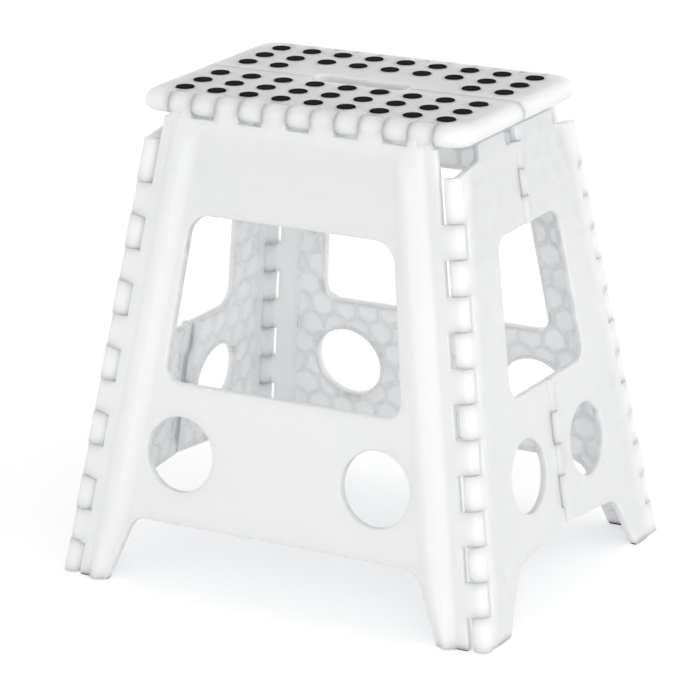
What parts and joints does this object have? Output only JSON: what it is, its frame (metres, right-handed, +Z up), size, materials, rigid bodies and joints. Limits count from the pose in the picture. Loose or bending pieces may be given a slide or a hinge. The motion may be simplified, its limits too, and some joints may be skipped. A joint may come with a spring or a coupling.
{
  "type": "folding step stool",
  "caption": "White plastic folding step stool of hinged panels with a grip-dotted top, a carry slot, windows, round holes and arched feet.",
  "frame": {"origin": "on the floor under the middle of the top", "axes": "+Z up, +X along the top to the right seen from the front, +Y from the front panel to the rear panel"},
  "size_m": [0.4404, 0.3656, 0.4488],
  "materials": {
    "white_plastic": "satin moulded polypropylene, white",
    "dot_rubber": "matt black thermoplastic rubber",
    "pad_rubber": "matt dark grey rubber",
    "rod_steel": "plain bright steel rod"
  },
  "bodies": {
    "front": {"front_panel": "white_plastic", "front_right_pad": "pad_rubber", "front_left_pad": "pad_rubber", "front_top_rod": "rod_steel", "right_front_corner_rod": "rod_steel", "left_front_corner_rod": "rod_steel"},
    "right_front": {"right_front_side": "white_plastic", "right_front_side_pad": "pad_rubber"},
    "right_rear": {"right_rear_side": "white_plastic", "right_rear_side_pad": "pad_rubber", "right_upper_rod": "rod_steel", "right_lower_rod": "rod_steel"},
    "rear": {"rear_panel": "white_plastic", "rear_right_pad": "pad_rubber", "rear_left_pad": "pad_rubber", "rear_top_rod": "rod_steel", "right_rear_corner_rod": "rod_steel", "left_rear_corner_rod": "rod_steel"},
    "left_rear": {"left_rear_side": "white_plastic", "left_rear_side_pad": "pad_rubber", "left_upper_rod": "rod_steel", "left_lower_rod": "rod_steel"},
    "left_front": {"left_front_side": "white_plastic", "left_front_side_pad": "pad_rubber"},
    "top_front": {"top_front": "white_plastic", "front_dots_1": "dot_rubber", "front_dots_2": "dot_rubber", "front_dots_3": "dot_rubber"},
    "top_rear": {"top_rear": "white_plastic", "rear_dots_1": "dot_rubber", "rear_dots_2": "dot_rubber", "rear_dots_3": "dot_rubber", "right_centre_rod": "rod_steel", "left_centre_rod": "rod_steel"}
  },
  "joints": [
    {"name": "right_front_corner", "type": "hinge", "parent": "front", "child": "right_front", "pos_m": [0.1464, -0.105, 0.4375], "axis": [-0.1479, 0.1462, 0.9781], "range_deg": [0, 89.6]},
    {"name": "right_middle", "type": "hinge", "parent": "right_front", "child": "right_rear", "pos_m": [0.15832, 0, 0.4122], "axis": [0.1495, 0, -0.9888], "range_deg": [0, 176.8]},
    {"name": "right_rear_corner", "type": "hinge", "parent": "right_rear", "child": "rear", "pos_m": [0.1464, 0.105, 0.4375], "axis": [-0.1479, -0.1462, 0.9781], "range_deg": [0, 89.6]},
    {"name": "left_rear_corner", "type": "hinge", "parent": "rear", "child": "left_rear", "pos_m": [-0.1464, 0.105, 0.4375], "axis": [0.1479, -0.1462, 0.9781], "range_deg": [0, 89.6]},
    {"name": "left_front_corner", "type": "hinge", "parent": "front", "child": "left_front", "pos_m": [-0.1464, -0.105, 0.4375], "axis": [-0.1479, -0.1462, -0.9781], "range_deg": [0, 89.6]},
    {"name": "front_top_hinge", "type": "hinge", "parent": "front", "child": "top_front", "pos_m": [0, -0.105, 0.4375], "axis": [1, 0, 0], "range_deg": [0, 80.95]},
    {"name": "rear_top_hinge", "type": "hinge", "parent": "rear", "child": "top_rear", "pos_m": [0, 0.105, 0.4375], "axis": [-1, 0, 0], "range_deg": [0, 80.95]}
  ],
  "couplings": [
    {"joint": "right_middle", "follows": "right_front_corner", "ratio": 1.9721},
    {"joint": "right_rear_corner", "follows": "right_front_corner", "ratio": 1},
    {"joint": "left_rear_corner", "follows": "right_front_corner", "ratio": 1},
    {"joint": "left_front_corner", "follows": "right_front_corner", "ratio": 1},
    {"joint": "front_top_hinge", "follows": "right_front_corner", "ratio": 0.90285},
    {"joint": "rear_top_hinge", "follows": "right_front_corner", "ratio": 0.90285}
  ]
}
